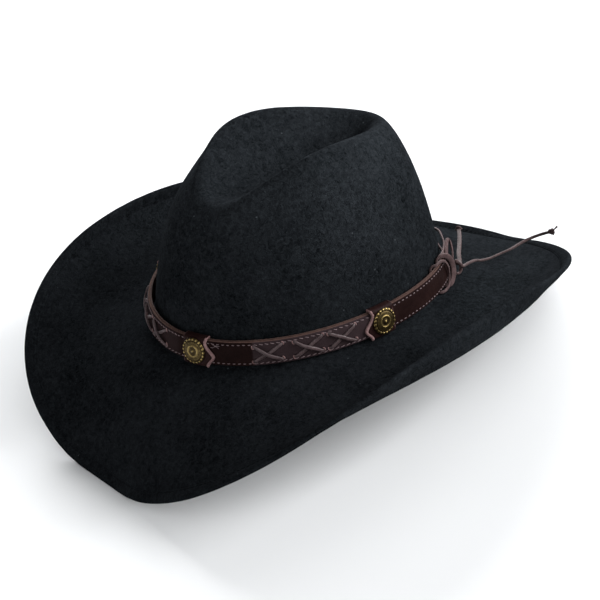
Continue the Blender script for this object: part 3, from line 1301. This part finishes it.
def build_reed():
    """The cord in the fold at the sweatband's foot."""
    points = np.array([inside(angle, 0.0026, 0.00192) for angle in ALL_ROUND])
    tangent = unit(np.roll(points, -1, 0) - np.roll(points, 1, 0))
    side = unit(np.cross(tangent, [0, 0, 1.0]))
    above = np.cross(side, tangent)
    turn = np.linspace(0, 2 * math.pi, 10, endpoint=False)[:, None]
    ring = side[:, None] * np.cos(turn) + above[:, None] * np.sin(turn)
    verts = (points[:, None] + 0.00068 * ring).reshape(-1, 3)
    build("sweatband_reed_cord", loft(verts, len(points), closed=True), [REED_M], "hat",
          "sweatband_reed")


def build_sweat_stitches():
    row, parts = SWEAT_STITCH_ROW, []
    count = int(360 / DEG_PER_M / 0.0034)
    for k in range(count):
        start = 360 * k / count
        points = [inside(start + s * 0.0021 * DEG_PER_M, row,
                         0.00382 + 0.00026 * math.sin(math.pi * s)) for s in np.linspace(0, 1, 6)]
        inward = inside(start, row, 0.004) - inside(start, row, 0.003)
        parts.append(tube(points, 0.00050, 0.00040, inward, sides=6, ends=0.45))
    build("sweatband_stitches", merge(parts), [BLACK_THREAD], "hat",
          "sweatband_stitch")


def ribbon_strip(angle, height, path, half, thick, lift):
    """A flat ribbon along an (across, up) path from a place inside, lifted off by a curve."""
    count, cols = len(path), 7
    turn = degrees_per_m(angle)
    path = np.array(path, float)
    way = unit(np.gradient(path, axis=0))
    sideways = np.column_stack([-way[:, 1], way[:, 0]])
    half = np.broadcast_to(half, (count,))
    verts = []
    for k in range(count):
        for layer, order in ((1, range(cols)), (0, range(cols - 1, -1, -1))):
            for c in order:
                x, y = path[k] + sideways[k] * half[k] * (2 * c / (cols - 1) - 1)
                fold = 0.00014 * math.cos(c * math.pi)
                verts.append(inside(angle + x * turn, height + y,
                                    0.0043 + lift(k / (count - 1)) + fold + layer * thick))
    return loft(np.array(verts), count)


def build_bow():
    """Two loops, two legs and a middle band, at the back of the sweatband."""
    place = dict(angle=180.0, height=0.0240)
    s = np.linspace(0, 1, 26)
    leg_s = np.linspace(0, 1, 14)
    parts = []
    for side in (1, -1):
        loop = [(side * 0.0118 * math.sin(math.pi * x), 0.0038 * math.sin(2 * math.pi * x))
                for x in s]
        parts.append(ribbon_strip(**place, path=loop, half=0.0012 + 0.0007 * np.sin(math.pi * s),
                                  thick=0.0004,
                                  lift=lambda x: 0.0007 + 0.0009 * math.sin(math.pi * x)))
        leg = [(side * (0.0004 + 0.0062 * x), -0.0006 - 0.0050 * x) for x in leg_s]
        parts.append(ribbon_strip(**place, path=leg, half=0.0013 + 0.0005 * leg_s, thick=0.0004,
                                  lift=lambda x: 0.0004 + 0.0002 * math.sin(3 * x)))
    middle = [(0.0, 0.0019 - 0.0038 * x) for x in np.linspace(0, 1, 10)]
    parts.append(ribbon_strip(**place, path=middle, half=0.0013, thick=0.0006,
                              lift=lambda x: 0.0018))
    build("sweatband_bow_ribbon", merge(parts), [RIBBON_M], "hat", "sweatband_bow")


def build_label():
    path = [(-0.011 + 0.022 * x, 0.0) for x in np.linspace(0, 1, 24)]
    shape = ribbon_strip(angle=205.0, height=0.0180, path=path, half=0.0050, thick=0.0003,
                         lift=lambda s: 0.00005 + 0.0003 * (2 * s - 1) ** 4)
    build("size_label_patch", shape, [LABEL_M], "hat", "size_label")


build_sweatband()
build_reed()
build_sweat_stitches()
build_bow()
build_label()
repaint("brim_edge_wire", WIRE_M)


# ------------------------------------------------------------ floor, light, camera
def build_floor():
    s = Shader("pale_floor")
    mottle = s.noise(scale=3.0, detail=3, rough=0.5)
    base = s.mix(s.ramp(mottle, low=0.3, high=0.7), (0.80, 0.80, 0.80), (0.83, 0.83, 0.83))
    mesh = bpy.data.meshes.new("floor")
    corners = [(-30, -30, 0), (30, -30, 0), (30, 30, 0), (-30, 30, 0)]
    mesh.from_pydata(corners, [], [(0, 1, 2, 3)])
    mesh.materials.append(s.set(Base_Color=base, Roughness=0.8, Specular_IOR_Level=0.2))
    floor = bpy.data.objects.new("floor", mesh)
    bpy.context.scene.collection.objects.link(floor)


def build_world():
    """White to the camera, a dim cool fill to everything else."""
    world = bpy.data.worlds.new("studio")
    world.use_nodes = True
    nodes, links = world.node_tree.nodes, world.node_tree.links
    dim = nodes["Background"]
    bright = nodes.new("ShaderNodeBackground")
    for background, color, strength in ((dim, (0.90, 0.95, 1.0, 1), 0.05),
                                        (bright, (1, 1, 1, 1), 1.0)):
        background.inputs["Color"].default_value = color
        background.inputs["Strength"].default_value = strength
    seen, join = nodes.new("ShaderNodeLightPath"), nodes.new("ShaderNodeMixShader")
    links.new(seen.outputs["Is Camera Ray"], join.inputs[0])
    links.new(dim.outputs[0], join.inputs[1])
    links.new(bright.outputs[0], join.inputs[2])
    output = next(n for n in nodes if n.type == "OUTPUT_WORLD")
    links.new(join.outputs[0], output.inputs["Surface"])
    bpy.context.scene.world = world


# the camera, as angles and a distance in the hat's frame, and its sideways and upward offsets
AZIMUTH, ELEVATION, ROLL = 52.515 * RAD, 27.231 * RAD, -5.335 * RAD
CAMERA_DISTANCE, CAMERA_RIGHT, CAMERA_UP = 1.82011, -0.00095, -0.0039
LENS, SENSOR = 165.69, 36


def build_camera():
    back = np.array([math.sin(AZIMUTH) * math.cos(ELEVATION),
                     -math.cos(AZIMUTH) * math.cos(ELEVATION), math.sin(ELEVATION)])
    level = np.array([math.cos(AZIMUTH), math.sin(AZIMUTH), 0.0])
    upright = np.cross(back, level)
    right = level * math.cos(ROLL) + upright * math.sin(ROLL)
    up = -level * math.sin(ROLL) + upright * math.cos(ROLL)
    pose = np.eye(4)
    pose[:3, :3] = np.column_stack([TIP @ right, TIP @ up, TIP @ back])
    pose[:3, 3] = to_scene(back * CAMERA_DISTANCE + right * CAMERA_RIGHT + up * CAMERA_UP)
    data = bpy.data.cameras.new("camera")
    data.lens, data.sensor_width, data.sensor_fit = LENS, SENSOR, "HORIZONTAL"
    data.clip_end = 100
    camera = bpy.data.objects.new("camera", data)
    camera.matrix_world = Matrix(pose.tolist())
    bpy.context.scene.collection.objects.link(camera)
    bpy.context.scene.camera = camera


def sun(name, turn, rise, strength):
    """A very soft distant light; turn is from the camera's side towards its right."""
    turn, rise = turn * RAD, rise * RAD
    right = Vector((math.cos(AZIMUTH), math.sin(AZIMUTH), 0))
    away = Vector((-math.sin(AZIMUTH), math.cos(AZIMUTH), 0))
    source = (right * (math.sin(turn) * math.cos(rise)) + away * (-math.cos(turn) * math.cos(rise))
              + Vector((0, 0, math.sin(rise)))).normalized()
    data = bpy.data.lights.new(name, "SUN")
    data.energy, data.angle, data.color = strength, 40 * RAD, (0.97, 0.985, 1.0)
    lamp = bpy.data.objects.new(name, data)
    lamp.rotation_euler = source.to_track_quat("Z", "Y").to_euler()
    bpy.context.scene.collection.objects.link(lamp)


build_floor()
build_world()
build_camera()
# a broad window behind, a second at the right, weak fills: turn, rise, strength
for light in (("back_window", 180, 12, 7.6), ("right_window", 90, 22, 4.6),
              ("right_back_fill", 135, 24, 1.7), ("right_front_fill", 45, 45, 0.8),
              ("left_front_fill", 315, 14, 0.7), ("front_fill", 0, 45, 0.5)):
    sun(*light)

bpy.context.scene.view_settings.view_transform = "Standard"
bpy.context.scene.view_settings.look = "None"
